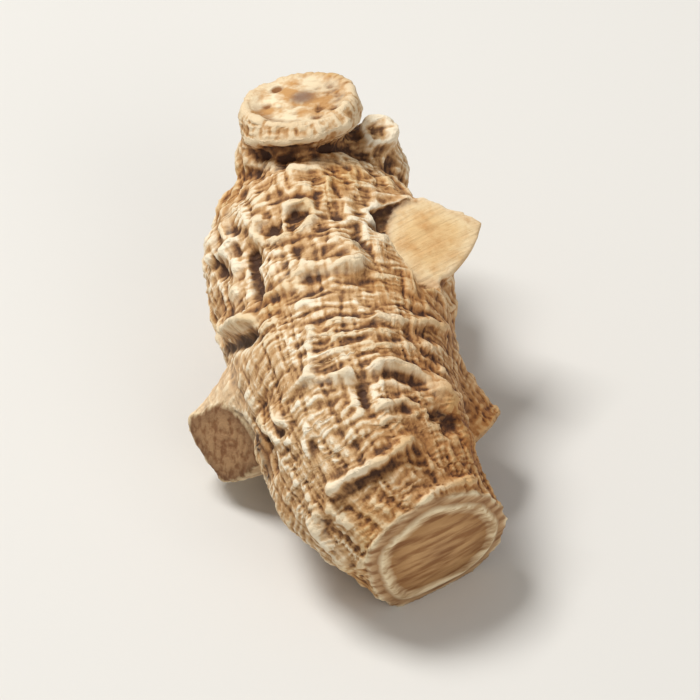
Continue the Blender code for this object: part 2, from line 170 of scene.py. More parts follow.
def remesh(thing, voxel):
    """One even skin of small quads over everything."""
    fuse = thing.modifiers.new("grown together", "REMESH")
    fuse.mode = "VOXEL"
    fuse.voxel_size = voxel
    apply_modifiers(thing)


def soften(thing, rounds):
    """Smooth away the corners."""
    smooth = thing.modifiers.new("softened", "SMOOTH")
    smooth.factor = 0.5
    smooth.iterations = rounds
    apply_modifiers(thing)


form = bmesh.new()
for stations in (BODY, NECK, CROWN, LEFT_LEG, RIGHT_LEG, SIDE_STUB):
    tube = limb_mesh(stations)
    form.from_mesh(tube)
    bpy.data.meshes.remove(tube)
for centre, radii in LOBES:
    ball = bmesh.ops.create_uvsphere(form, u_segments=32, v_segments=20, radius=1.0)
    bmesh.ops.scale(form, vec=Vector(radii), verts=ball["verts"])
    bmesh.ops.translate(form, vec=Vector(centre), verts=ball["verts"])
bmesh.ops.remove_doubles(form, verts=form.verts, dist=1e-3)
blank = bpy.data.meshes.new("blank")
form.to_mesh(blank)
form.free()
skin = bpy.data.objects.new("ginseng_root_skin", blank)
bpy.context.scene.collection.objects.link(skin)
remesh(skin, BLANK_VOXEL)
soften(skin, BLANK_SMOOTHING)
finer = skin.modifiers.new("finer", "SUBSURF")
finer.levels = 1
finer.render_levels = 1
apply_modifiers(skin)
print("blank:", len(skin.data.vertices), "points")

# %% [markdown]
# ## The large relief
#
# Dried ginseng shrinks unevenly. The shoulder draws into a net with pits, the
# waist into rings, and the tail into wrinkles that run along it. These follow
# the root and not the room, so every point is first unrolled: two numbers say
# where it is round its branch, and one how far along. Noise read at those
# numbers bends with the root. At a round end the circles round the branch
# shrink to a point, and the END_SHARE keeps the pattern from turning to a star.

# %% Where each point is on a branch
DRUM_RADIUS = 10.0
END_SHARE = 0.8
LIMB_SHARPNESS = 8.0
BLOCK = 4000


def smooth_step(value, low, high):
    """0 below low, 1 above high and a soft change between."""
    share = np.clip((value - low) / (high - low), 0.0, 1.0)
    return share * share * (3.0 - 2.0 * share)


def bell(distance, half_width):
    """1 at no distance, falling off to both sides."""
    return np.exp(-(distance / half_width) ** 2)


def axis_samples(stations, step=0.5):
    """Points, unit directions and radii every step along an axis."""
    rows = np.array(stations)
    gaps = np.linalg.norm(np.diff(rows[:, :3], axis=0), axis=1)
    marks = np.concatenate(([0.0], np.cumsum(gaps)))
    places = np.arange(0.0, marks[-1], step)
    samples = np.column_stack([np.interp(places, marks, rows[:, k]) for k in range(4)])
    ways = np.gradient(samples[:, :3], axis=0)
    ways /= np.linalg.norm(ways, axis=1)[:, None]
    return places, samples[:, :3], ways, samples[:, 3]


def unroll(points, stations):
    """Where each point is on a drum round the branch, and how far out it is."""
    places, centres, ways, radii = axis_samples(stations)
    nearest = np.empty(len(points), dtype=int)
    reach = np.empty(len(points))
    for first in range(0, len(points), BLOCK):
        block = points[first:first + BLOCK]
        gaps = np.linalg.norm(block[:, None, :] - centres[None, :, :], axis=2) / radii[None, :]
        nearest[first:first + BLOCK] = gaps.argmin(axis=1)
        reach[first:first + BLOCK] = gaps.min(axis=1)
    way = ways[nearest]
    offset = points - centres[nearest]
    slide = np.sum(offset * way, axis=1)
    offset -= slide[:, None] * way
    aside = np.cross(way, np.array([0.0, 0.0, 1.0]))
    aside /= np.linalg.norm(aside, axis=1)[:, None]
    over = np.cross(aside, way)
    out = np.maximum(np.linalg.norm(offset, axis=1), END_SHARE * radii[nearest])
    drum = np.column_stack((
        np.sum(offset * aside, axis=1) / out * DRUM_RADIUS,
        np.sum(offset * over, axis=1) / out * DRUM_RADIUS,
        places[nearest] + slide,
    ))
    return drum, reach


def limb_places(points, limbs):
    """Unrolled places on every limb, and how much each point belongs to it."""
    unrolled = [unroll(points, stations) for stations in limbs]
    reach = np.array([out for _, out in unrolled])
    share = np.exp(-LIMB_SHARPNESS * (reach - reach.min(axis=0)))
    return [drum for drum, _ in unrolled], share / share.sum(axis=0)


# %% [markdown]
# ### Net, rings and wrinkles
#
# Three patterns make the skin. The net is the border between scattered cells,
# the rings are a wave along the root that noise bends and breaks, and the
# wrinkles are the thin places where stretched noise crosses zero.

# %% The patterns of the skin
NET_CELL = (2.2, 3.2)
NET_LINE = 0.16
NET_HOLLOW = 0.3
NET_HEIGHT = 0.4
RING_SPACING = 2.0
RING_BEND = 0.7
RING_BEND_SIZE = (5.0, 5.0, 5.0)
RING_GAP_SIZE = (4.0, 4.0, 3.0)
LEDGE_SIZE = (6.0, 6.0, 1.6)
RING_HEIGHT = 0.6
WRINKLE_WIDTH = 1.5
WRINKLE_LENGTH = 7.0
WRINKLE_HEIGHT = 0.35
LUMP_SIZE = 8.0
LUMP_HEIGHT = 0.8
BACK_SCALE = 1.5
SHOULDER_END = (17.0, 24.0)
TAIL_START = (34.0, 40.0)


def waves(points, size, seed):
    """Soft noise from -1 to 1, with features about size across."""
    shift = Vector((7.3, 3.1, 5.7)) * seed
    return np.array([noise.noise(Vector(p) + shift) for p in points / np.array(size)])


def crests(points, size, seed, width=0.25):
    """Thin wandering crests: 1 on them and 0 between."""
    return 1.0 - np.minimum(np.abs(waves(points, size, seed)) / width, 1.0)


def cell_borders(points, size, seed):
    """0 on the borders between cells, rising to about 0.7 in their middles."""
    shift = Vector((2.9, 8.3, 4.1)) * seed
    gaps = [noise.voronoi(Vector(p) + shift)[0] for p in points / np.array(size)]
    return np.array([gap[1] - gap[0] for gap in gaps])


def net(drum):
    """Low cells with raised borders, as on the shoulder."""
    round_size, along_size = NET_CELL
    border = cell_borders(drum, (round_size, round_size, along_size), 3)
    return bell(border, NET_LINE) - NET_HOLLOW * smooth_step(border, 0.2, 0.7)


def rings(drum):
    """Broken rings round the root."""
    turn = drum[:, 2] / RING_SPACING + RING_BEND * waves(drum, RING_BEND_SIZE, 5)
    even = (0.5 + 0.5 * np.cos(2.0 * np.pi * turn)) ** 1.5
    strength = 0.65 + 0.7 * waves(drum, RING_GAP_SIZE, 6)
    broken = crests(drum, LEDGE_SIZE, 7)
    return 0.6 * even * strength + 0.5 * broken - 0.35


def wrinkles(drum):
    """Shallow wrinkles that run along the root."""
    return crests(drum, (WRINKLE_WIDTH, WRINKLE_WIDTH, WRINKLE_LENGTH), 9) - 0.4


def body_skin(drum):
    """Net on the shoulder, rings on the waist, wrinkles and some rings on the tail."""
    along = drum[:, 2]
    shoulder = 1.0 - smooth_step(along, *SHOULDER_END)
    tail = smooth_step(along, *TAIL_START)
    waist = (1.0 - shoulder) * (1.0 - tail)
    height = shoulder * NET_HEIGHT * net(drum)
    height += (waist + 0.25 * tail) * RING_HEIGHT * rings(drum)
    height += (0.9 * shoulder + 0.5 * waist + tail) * WRINKLE_HEIGHT * wrinkles(drum)
    return height


def leg_skin(drum):
    """Wrinkles along a side root, with a few rings."""
    return 0.5 * RING_HEIGHT * rings(drum) + WRINKLE_HEIGHT * wrinkles(drum)


def crown_skin(drum):
    """Low ledges round the crown's wall."""
    return 0.4 * RING_HEIGHT * rings(drum)


LIMBS = (
    ("body", BODY, body_skin),
    ("left_leg", LEFT_LEG, leg_skin),
    ("right_leg", RIGHT_LEG, leg_skin),
    ("side_stub", SIDE_STUB, leg_skin),
    ("crown", CROWN, crown_skin),
)

# %% [markdown]
# ### Folds, creases and the stem scar
#
# Some folds are too plain to leave to chance: the edge of the middle lobe, the
# lip under the shoulder, the ring folds of the tail. Each is a line of points
# on the front, seen square on, with a height and a half width. A negative
# height is a crease. An eye is a bud or a knot: a place, a radius, a height and
# a half width. The scar on the crown, where the stem broke off, is a dished disc
# with small pits.

# %% Marks with a place of their own
SIGHT = Vector((0.071, -0.723, 0.687)).normalized()
ACROSS = (Vector((1.0, 0.0, 0.0)) - SIGHT * SIGHT.x).normalized()
RISE = SIGHT.cross(ACROSS)
FOLD_SCALE = 1.3
FOLD_WANDER = 0.2
FOLD_WANDER_SIZE = (2.2, 2.2, 2.2)
FOLD_TAPER = (-0.3, 1.2)
FOLD_COVER = 1.6
COVERED = 0.5
UNEVENNESS = 0.7
UNEVEN_SIZE = (1.6, 1.6, 1.6)
EYE_PIT = 0.5
FOLDS = (
    (0.9, 0.55, ((-5.2, 10.6), (-3.5, 11.4), (-1.0, 11.6), (1.0, 12.0), (2.2, 12.7))),
    (0.5, 0.40, ((-7.8, 8.9), (-6.0, 9.7), (-4.4, 10.1), (-2.8, 10.2))),
    (1.1, 0.60, ((-12.3, 6.2), (-10.5, 6.2), (-9.0, 6.8), (-7.8, 7.3))),
    (0.7, 0.45, ((-13.0, 6.6), (-13.1, 5.6), (-12.0, 5.1), (-10.8, 5.1))),
    (0.6, 0.40, ((-10.9, 18.2), (-11.2, 16.5), (-10.9, 14.8), (-9.4, 14.1))),
    (0.6, 0.40,
     ((-12.4, 17.6), (-12.6, 15.0), (-12.2, 13.0), (-10.8, 13.3), (-9.9, 12.2), (-10.6, 8.2))),
    (0.5, 0.40, ((-9.6, 18.2), (-9.2, 16.6), (-8.6, 15.0))),
    (0.8, 0.34, ((-6.4, 16.8), (-5.0, 17.5), (-3.4, 17.5), (-2.9, 16.7), (-3.6, 15.8), (-4.8, 15.0))),
    (0.8, 0.34, ((-4.8, 15.0), (-6.2, 14.4), (-7.8, 14.3), (-8.4, 15.0), (-8.0, 16.0), (-6.6, 16.4))),
    (0.6, 0.30, ((-6.0, 16.6), (-5.7, 15.6), (-5.2, 14.9))),
    (0.4, 0.32, ((-7.6, 10.4), (-6.2, 12.0), (-4.9, 13.2))),
    (0.4, 0.32, ((-6.8, 9.8), (-5.4, 11.4), (-4.0, 12.6))),
    (0.4, 0.35, ((-8.2, 13.3), (-6.6, 13.4), (-5.2, 13.9))),
    (0.6, 0.45, ((-1.7, 15.8), (-1.0, 14.6), (-0.2, 13.9), (1.2, 13.4), (2.4, 13.0))),
    (0.6, 0.50, ((-5.6, 19.8), (-4.6, 21.0), (-3.2, 21.9), (-1.4, 22.1), (0.5, 21.8), (2.4, 21.2))),
    (0.6, 0.45, ((5.4, 18.2), (5.2, 16.8), (4.2, 15.2), (3.0, 14.2))),
    (0.6, 0.40, ((-2.0, 6.4), (-0.4, 7.0), (2.6, 7.2), (5.6, 7.2), (8.0, 6.8), (10.2, 6.2))),
    (0.4, 0.35, ((-7.8, 8.0), (-4.6, 8.2), (-2.4, 8.6))),
    (0.4, 0.35, ((-3.8, 5.7), (-1.0, 5.6), (2.0, 6.0), (5.4, 6.1))),
    (0.4, 0.35, ((-3.0, 3.6), (1.0, 4.6), (6.0, 5.0), (9.6, 4.2))),
    (0.5, 0.40, ((-3.3, 6.7), (-3.4, 4.4), (-3.2, 2.4), (-3.9, 1.2))),
    (0.7, 0.50, ((-5.0, 0.8), (-3.6, 1.2), (-1.8, 1.5), (-0.2, 1.9), (1.2, 2.1))),
    (0.9, 0.50, ((1.8, 2.3), (3.4, 2.8), (4.8, 2.8), (6.4, 2.4), (7.8, 1.4), (9.2, -0.2), (10.2, -1.4))),
    (0.5, 0.35, ((2.2, 1.2), (4.0, 1.3), (5.6, 1.0), (7.4, 0.0), (8.6, -1.4))),
    (0.7, 0.40, ((2.2, -1.4), (3.6, -0.8), (5.4, -0.2), (7.0, -0.9), (8.2, -2.0))),
    (0.4, 0.35, ((2.6, -2.6), (4.4, -2.0), (6.0, -1.6), (7.2, -2.4))),
    (0.9, 0.40, ((-7.0, -0.4), (-6.7, -1.6), (-6.0, -2.4), (-5.2, -3.0))),
    (0.6, 0.40, ((-8.4, -1.4), (-7.8, -3.2), (-6.2, -4.2), (-4.6, -4.2))),
    (0.5, 0.40, ((-3.9, -2.6), (-3.9, -4.4), (-3.4, -6.0))),
    (0.9, 0.45,
     ((-1.9, -9.2), (-1.0, -8.2), (0.6, -7.2), (2.0, -6.4), (3.6, -5.8), (5.0, -4.6), (6.4, -3.6))),
    (0.6, 0.45, ((-3.4, -9.4), (-2.8, -11.0), (-2.0, -12.6), (-0.8, -14.4), (0.8, -16.6))),
    (0.5, 0.40, ((-2.2, -9.6), (-0.4, -10.8), (1.0, -12.0))),
    (0.5, 0.40, ((0.8, -16.6), (2.0, -14.6), (3.6, -13.0), (5.6, -12.0))),
    (0.6, 0.40, ((6.6, -10.4), (7.4, -9.3), (8.8, -8.4), (10.4, -7.9), (12.6, -7.3))),
    (0.5, 0.45, ((-9.8, 24.6), (-8.0, 24.1), (-5.0, 24.1), (-2.6, 24.3), (-0.8, 25.0), (0.6, 26.4))),
    (0.7, 0.40, ((-9.5, 22.0), (-8.2, 21.8), (-6.8, 21.4), (-5.6, 21.2))),
    (-0.5, 0.40, ((-8.8, 23.1), (-5.0, 23.2), (-1.4, 23.5))),
    (-1.0, 0.45, ((-8.9, 14.2), (-8.7, 12.0), (-8.4, 10.4), (-7.9, 8.4))),
    (-0.6, 0.35, ((-11.6, 12.2), (-11.3, 10.6))),
    (-0.5, 0.32, ((-5.6, 16.3), (-4.8, 16.6), (-3.9, 16.8))),
    (-0.5, 0.36, ((-7.4, 15.4), (-6.5, 15.6))),
    (-1.3, 0.60, ((5.0, 18.2), (4.3, 17.0), (3.4, 16.1), (2.0, 15.6))),
    (-0.7, 0.35, ((0.2, 15.2), (0.9, 14.2), (2.0, 13.6), (2.8, 12.4))),
    (-0.7, 0.35, ((1.2, 1.4), (1.6, 0.0), (2.0, -1.8))),
    (-0.7, 0.32, ((-2.9, -3.0), (-3.2, -4.8), (-2.9, -6.4))),
    (-0.5, 0.40, ((0.8, -8.4), (3.0, -6.8), (5.2, -5.6))),
    (-0.8, 0.50, ((7.6, -0.6), (9.0, -2.2), (10.2, -3.6))),
    (-0.8, 0.50, ((-8.6, -3.0), (-7.6, -5.0), (-7.0, -7.0), (-7.4, -8.2))),
    (-0.9, 0.60, ((-12.4, 4.2), (-10.6, 4.4), (-9.2, 5.2), (-8.0, 6.2))),
)
EYES = (
    (2.9, 24.9, 1.05, 0.6, 0.36),
    (-12.6, 6.0, 0.55, 0.3, 0.30),
)
SCAR_CENTRE = Vector((-4.2, 14.2, 25.7))
SCAR_FACING = Vector((-0.18, 0.22, 0.96)).normalized()
SCAR_RADIUS = 5.6
SCAR_WALL = (0.70, 0.92)
SCAR_SKIRT = (-1.6, -0.6)
SCAR_DISH = 0.7
PIT_SPACING = 1.5
PIT_DEPTH = 0.55
STEM_PLACE = Vector((-3.7, 14.9, 25.7))
STEM_RADIUS = 1.2


def nearest_on_line(spots, line):
    """Distance from each spot to a line of points, and to the line's nearer end."""
    best = np.full(len(spots), 1e9)
    place = np.zeros(len(spots))
    start = 0.0
    for first, last in zip(line[:-1], line[1:]):
        first = np.array(first)
        run = np.array(last) - first
        length = np.hypot(*run)
        share = np.clip((spots - first) @ run / length ** 2, 0.0, 1.0)
        gap = np.hypot(*(spots - first - share[:, None] * run).T)
        closer = gap < best
        best = np.where(closer, gap, best)
        place = np.where(closer, start + share * length, place)
        start += length
    return best, np.minimum(place, start - place)


def front_marks(points, normals):
    """Folds, creases and eyes that are set out on the front, and where they lie."""
    spots = np.column_stack((points @ np.array(ACROSS), points @ np.array(RISE)))
    spots[:, 0] += FOLD_WANDER * waves(points, FOLD_WANDER_SIZE, 11)
    spots[:, 1] += FOLD_WANDER * waves(points, FOLD_WANDER_SIZE, 12)
    height = np.zeros(len(points))
    cover = np.zeros(len(points))
    uneven = 1.0 + UNEVENNESS * waves(points, UNEVEN_SIZE, 13)
    for rise, half_width, line in FOLDS:
        gap, end_gap = nearest_on_line(spots, line)
        taper = smooth_step(end_gap, *FOLD_TAPER)
        height += FOLD_SCALE * rise * uneven * (bell(gap, half_width * uneven) * taper)
        cover = np.maximum(cover, bell(gap, FOLD_COVER * half_width) * taper)
    for across, up, radius, rise, half_width in EYES:
        out = np.hypot(spots[:, 0] - across, spots[:, 1] - up)
        pit = EYE_PIT * bell(out, 0.7 * radius)
        height += FOLD_SCALE * rise * (bell(out - radius, half_width) - pit)
        cover = np.maximum(cover, 1.0 - smooth_step(out, radius, FOLD_COVER * radius))
    facing = smooth_step(normals @ np.array(SIGHT), 0.0, 0.3)
    return height * facing, cover * facing


def scar_place(points):
    """How far each point lies inside the stem scar, and how far on top, both from 0 to 1."""
    offset = points - np.array(SCAR_CENTRE)
    level = offset @ np.array(SCAR_FACING)
    out = np.linalg.norm(offset - level[:, None] * np.array(SCAR_FACING), axis=1)
    on_top = smooth_step(level, *SCAR_SKIRT)
    inside = on_top * (1.0 - smooth_step(out / SCAR_RADIUS, *SCAR_WALL))
    return inside, on_top


def stem_stump(points):
    """1 on the small stump that the stem left, 0 away from it."""
    away = np.linalg.norm(points - np.array(STEM_PLACE), axis=1)
    return 1.0 - smooth_step(away / STEM_RADIUS, 0.8, 1.6)


def scar_marks(points):
    """The stem scar: a pitted, dished floor round the stem's stump."""
    inside, _ = scar_place(points)
    border = cell_borders(points, (PIT_SPACING, PIT_SPACING, 3.0 * PIT_SPACING), 4)
    pits = PIT_DEPTH * smooth_step(border, 0.25, 0.6)
    return -inside * (SCAR_DISH + (1.0 - stem_stump(points)) * pits), inside


# %% [markdown]
# ### Raising the relief
#
# Each point of the blank moves along its own normal by the height of the skin
# there. Where skin folds over a crease the surface would cross itself, so a
# second remesh makes it one clean skin again.

# %% Raise the relief
RAISED_VOXEL = 0.3


def read_rows(items, key):
    """Three numbers of every item, such as the places of points, one row each."""
    values = np.empty(len(items) * 3)
    items.foreach_get(key, values)
    return values.reshape(-1, 3)


def move_points(mesh, points):
    """Put the mesh's points at new places."""
    mesh.vertices.foreach_set("co", points.ravel())
    mesh.update()


def skin_height(points, normals):
    """How far the skin stands out at each point of the smooth blank."""
    drums, shares = limb_places(points, [stations for _, stations, _ in LIMBS])
    height = np.zeros(len(points))
    for share, drum, (_, _, skin_of_limb) in zip(shares, drums, LIMBS):
        height += share * skin_of_limb(drum)
    front = smooth_step(normals @ np.array(SIGHT), -0.2, 0.5)
    height *= BACK_SCALE + (1.0 - BACK_SCALE) * front
    marks, cover = front_marks(points, normals)
    scar, scarred = scar_marks(points)
    height = height * (1.0 - COVERED * cover) * (1.0 - scarred) + marks + scar
    return height + LUMP_HEIGHT * waves(points, (LUMP_SIZE,) * 3, 15) * (1.0 - scarred)


points = read_rows(skin.data.vertices, "co")
normals = read_rows(skin.data.vertex_normals, "vector")
height = skin_height(points, normals)
move_points(skin.data, points + height[:, None] * normals)
remesh(skin, RAISED_VOXEL)
print("relief from", round(height.min(), 2), "to", round(height.max(), 2), "mm")

# %% [markdown]
# ## Knife cuts and the flat it rests on
#
# Side roots and the tip were sliced off before drying. A cut end dries with a
# slight bulge, so each cutter's face is dished by as much. One Boolean takes
# all the cutters away, together with the thin slice that gives the root its
# three small resting flats. Another remesh rounds the cut edges a little, as
# drying does, and gives the cut faces points of their own to carry detail.

# %% Cut the ends
CUTS = (
    ("tail", (10.5, -26.9, 6.5), (0.58, -0.79, -0.19), 10.0, 0.9),
    ("left_leg", (-11.4, -13.6, 6.0), (-0.55, -0.82, 0.14), 6.0, 0.3),
    ("right_leg", (12.1, -12.4, 5.4), (0.66, -0.40, -0.63), 5.0, 0.2),
    ("side_stub", (9.2, 1.6, 18.5), (0.21, -0.32, 0.92), 4.9, 0.3),
    ("stub_under", (11.9, 1.8, 17.6), (0.86, -0.28, -0.42), 4.0, 0.8),
)
REST_HEIGHT = 0.2
REST_EDGE = (0.1, 0.5)
FLOOR_REACH = 40.0
CUTTER_STEPS = 7
FINE_VOXEL = 0.285


def add_cutter(collection, point, facing, reach, bulge=0.0):
    """A cube that takes away what lies past a plane, within reach of a point on it."""
    form = bmesh.new()
    bmesh.ops.create_cube(form, size=2.0 * reach)
    if bulge:
        bmesh.ops.subdivide_edges(form, edges=form.edges, cuts=CUTTER_STEPS, use_grid_fill=True)
        for vertex in form.verts:
            if vertex.co.z < -0.99 * reach:
                out = min(vertex.co.xy.length / reach, 1.0)
                vertex.co.z += bulge * (1.0 - out * out)
    mesh = bpy.data.meshes.new("cutter")
    form.to_mesh(mesh)
    form.free()
    cutter = bpy.data.objects.new("cutter", mesh)
    cutter.rotation_euler = facing.to_track_quat("Z", "Y").to_euler()
    cutter.location = point + facing * reach
    collection.objects.link(cutter)


cutters = bpy.data.collections.new("cutters")
bpy.context.scene.collection.children.link(cutters)
for _, point, facing, reach, bulge in CUTS:
    add_cutter(cutters, Vector(point), Vector(facing).normalized(), reach, bulge)
add_cutter(cutters, Vector((0.0, 0.0, REST_HEIGHT)), Vector((0.0, 0.0, -1.0)), FLOOR_REACH)
slicing = skin.modifiers.new("knife cuts", "BOOLEAN")
slicing.operation = "DIFFERENCE"
slicing.operand_type = "COLLECTION"
slicing.collection = cutters
slicing.solver = "FAST"
bpy.context.view_layer.update()
apply_modifiers(skin)
for cutter in list(cutters.objects):
    bpy.data.objects.remove(cutter)
bpy.data.collections.remove(cutters)
remesh(skin, FINE_VOXEL)
print("cut and remeshed:", len(skin.data.vertices), "points")

# %% [markdown]
# ## Places for the finish
#
# The material and the fine relief need to know where they are. Each point gets
# its unrolled place on every limb, how much it belongs to that limb, how far
# it is inside a cut face or the stem scar, and, on a cut, how far out from the
# middle it is as a share of the way to the rim. They are kept as attributes,
# which bend with the root where a plain pattern in space would slice it.

# %% Store the places as attributes
CUT_EDGE = 0.35
RIM_STEPS = 48
PAST_RIM = 1.3
GIRTH = {"body": 1.0, "left_leg": 0.5, "right_leg": 0.55, "side_stub": 0.45, "crown": 0.6}
CAMBIUM_PLACE = 0.78
CAMBIUM_WIDTH = 0.05
CAMBIUM_HEIGHT = 0.22


def store(mesh, name, values):
    """Keep one number or one vector for each point of the mesh."""
    kind = "FLOAT" if values.ndim == 1 else "FLOAT_VECTOR"
    attribute = mesh.attributes.new(name, kind, "POINT")
    key = "value" if values.ndim == 1 else "vector"
    attribute.data.foreach_set(key, values.astype(np.float32).ravel())


def cut_place(points, point, facing, reach, bulge):
    """1 on a cut face, and the place on it: 0 in the middle, 1 at the rim."""
    facing = Vector(facing).normalized()
    turn = facing.to_track_quat("Z", "Y").to_matrix()
    local = (points - np.array(point)) @ np.array(turn)
    out = np.hypot(local[:, 0], local[:, 1])
    dome = bulge * (1.0 - np.minimum(out / reach, 1.0) ** 2)
    gap = np.abs(local[:, 2] - dome)
    on_cut = (1.0 - smooth_step(gap, 0.5 * CUT_EDGE, CUT_EDGE)) * (out < reach)
    face = on_cut > 0.5
    middle = local[face, :2].mean(axis=0)
    offset = local[:, :2] - middle
    angle = np.arctan2(offset[:, 1], offset[:, 0])
    out = np.hypot(*offset.T)
    slot = ((angle / (2.0 * np.pi) + 0.5) * RIM_STEPS).astype(int) % RIM_STEPS
    rim = np.array([out[face & (slot == k)].max(initial=0.5) for k in range(RIM_STEPS)])
    rim = (np.roll(rim, 1) + rim + np.roll(rim, -1)) / 3.0
    ends = np.concatenate((rim[-1:], rim, rim[:1]))
    steps = (np.arange(-1, RIM_STEPS + 1) + 0.5) / RIM_STEPS
    reach_there = np.interp(angle / (2.0 * np.pi) + 0.5, steps, ends)
    return on_cut, np.clip(out / reach_there, 0.0, PAST_RIM)


points = read_rows(skin.data.vertices, "co")
drums, shares = limb_places(points, [stations for _, stations, _ in LIMBS])
for (name, _, _), drum, share in zip(LIMBS, drums, shares):
    store(skin.data, name + "_place", drum * (GIRTH[name], GIRTH[name], 1.0))
    store(skin.data, name + "_share", share)
cut_mask = np.zeros(len(points))
cut_out = np.ones(len(points))
ridge = np.zeros(len(points))
for name, point, facing, reach, bulge in CUTS:
    on_cut, out = cut_place(points, point, facing, reach, bulge)
    if name == "tail":
        ridge = on_cut * CAMBIUM_HEIGHT * bell(out - CAMBIUM_PLACE, CAMBIUM_WIDTH)
    closer = on_cut > cut_mask
    cut_mask = np.where(closer, on_cut, cut_mask)
    cut_out = np.where(closer, out, cut_out)
    store(skin.data, name + "_cut", on_cut)
    print(name, "cut:", int((on_cut > 0.5).sum()), "points")
normals = read_rows(skin.data.vertex_normals, "vector")
marks, _ = front_marks(points, normals)
store(skin.data, "fold", marks)
scar_inside, scar_top = scar_place(points)
store(skin.data, "cut", cut_mask)
store(skin.data, "cut_out", cut_out)
store(skin.data, "scar", scar_inside)
store(skin.data, "stem", scar_top * stem_stump(points))
store(skin.data, "resting", 1.0 - smooth_step(points[:, 2] - REST_HEIGHT, *REST_EDGE))
move_points(skin.data, points + ridge[:, None] * normals)

# %% [markdown]
# ## Fine relief
#
# Between the large rings a dried root is covered in fine ones about a
# millimetre apart, and short wrinkles run across them, so the skin looks
# almost woven. This repeats over the whole surface and follows it, which is
# what Geometry Nodes are good at: one small group makes the height for one
# limb, the tree uses it for each limb in turn, and a Set Position node lifts
# the skin along its normal. The sizes are inputs of the tree, so they can be
# tried out by hand in the modifier panel.

# %% Helpers for the node trees
def linear(code):
    """An sRGB hex colour such as c49a6c as the linear colour that shaders use."""
    shares = [int(code[k:k + 2], 16) / 255.0 for k in (0, 2, 4)]
    values = [s / 12.92 if s <= 0.04045 else ((s + 0.055) / 1.055) ** 2.4 for s in shares]
    return (*values, 1.0)


def add_node(tree, kind, inputs=None, stops=(), **settings):
    """Add a node with its settings, and give its inputs values or links.

    A colour ramp starts with two stops, so its first and last are given first.
    """
    node = tree.nodes.new(kind)
    for name, value in settings.items():
        setattr(node, name, value)
    for k, (place, code) in enumerate(stops):
        stop = node.color_ramp.elements[k] if k < 2 else node.color_ramp.elements.new(place)
        stop.position = place
        stop.color = linear(code)
    for key, value in (inputs or {}).items():
        if isinstance(value, bpy.types.NodeSocket):
            tree.links.new(value, node.inputs[key])
        else:
            node.inputs[key].default_value = value
    return node


def new_group(kind, name, inputs, outputs):
    """A node group with named inputs and outputs."""
    tree = bpy.data.node_groups.new(name, kind)
    for label, socket in inputs:
        tree.interface.new_socket(label, in_out="INPUT", socket_type=socket)
    for label, socket in outputs:
        tree.interface.new_socket(label, in_out="OUTPUT", socket_type=socket)
    start = add_node(tree, "NodeGroupInput")
    end = add_node(tree, "NodeGroupOutput")
    return tree, start.outputs, end


# %% The height of the fine skin on one limb
FINE_RELIEF = {
    "Ring spacing": 1.1,
    "Ring height": 0.16,
    "Wrinkle width": 1.3,
    "Wrinkle length": 6.0,
    "Wrinkle height": 0.14,
}
FINE_SIZES = tuple((label, "NodeSocketFloat") for label in FINE_RELIEF)
FINE_BEND = 5.0
GROOVE_HALF_WIDTH = 0.10

limb_tree, given, result = new_group(
    "GeometryNodeTree",
    "fine skin of a limb",
    (("Place", "NodeSocketVector"),) + FINE_SIZES,
    (("Height", "NodeSocketFloat"),),
)
place = add_node(limb_tree, "ShaderNodeSeparateXYZ", {"Vector": given["Place"]})
wobble = add_node(limb_tree, "ShaderNodeTexNoise", {"Vector": given["Place"], "Scale": 0.22, "Detail": 3.0})
bent = add_node(limb_tree, "ShaderNodeMath", {0: wobble.outputs[0], 1: FINE_BEND}, operation="MULTIPLY")
turns = add_node(
    limb_tree, "ShaderNodeMath", {0: place.outputs["Z"], 1: given["Ring spacing"]}, operation="DIVIDE"
)
phase = add_node(limb_tree, "ShaderNodeMath", {0: turns.outputs[0], 1: bent.outputs[0]}, operation="ADD")
angle = add_node(limb_tree, "ShaderNodeMath", {0: phase.outputs[0], 1: 2.0 * np.pi}, operation="MULTIPLY")
wave = add_node(limb_tree, "ShaderNodeMath", {0: angle.outputs[0]}, operation="COSINE")
patchy = add_node(limb_tree, "ShaderNodeTexNoise", {"Vector": given["Place"], "Scale": 0.35, "Detail": 2.0})
span = {"Value": patchy.outputs[0], "From Min": 0.35, "From Max": 0.62, "To Max": 0.5}
patches = add_node(limb_tree, "ShaderNodeMapRange", span)
ring_part = add_node(
    limb_tree, "ShaderNodeMath", {0: wave.outputs[0], 1: patches.outputs[0]}, operation="MULTIPLY"
)
ring_high = add_node(
    limb_tree, "ShaderNodeMath", {0: ring_part.outputs[0], 1: given["Ring height"]}, operation="MULTIPLY"
)
thin = add_node(limb_tree, "ShaderNodeMath", {0: 1.0, 1: given["Wrinkle width"]}, operation="DIVIDE")
stretched = add_node(limb_tree, "ShaderNodeMath", {0: 1.0, 1: given["Wrinkle length"]}, operation="DIVIDE")
squeeze = add_node(
    limb_tree,
    "ShaderNodeCombineXYZ",
    {"X": thin.outputs[0], "Y": thin.outputs[0], "Z": stretched.outputs[0]},
)
drawn = add_node(
    limb_tree, "ShaderNodeVectorMath", {0: given["Place"], 1: squeeze.outputs[0]}, operation="MULTIPLY"
)
lines = add_node(limb_tree, "ShaderNodeTexNoise", {"Vector": drawn.outputs[0], "Scale": 1.0, "Detail": 1.0})
centred = add_node(limb_tree, "ShaderNodeMath", {0: lines.outputs[0], 1: 0.5}, operation="SUBTRACT")
apart = add_node(limb_tree, "ShaderNodeMath", {0: centred.outputs[0]}, operation="ABSOLUTE")
span = {"Value": apart.outputs[0], "From Max": GROOVE_HALF_WIDTH, "To Min": -1.0, "To Max": 0.0}
groove = add_node(limb_tree, "ShaderNodeMapRange", span)
groove_deep = add_node(
    limb_tree, "ShaderNodeMath", {0: groove.outputs[0], 1: given["Wrinkle height"]}, operation="MULTIPLY"
)
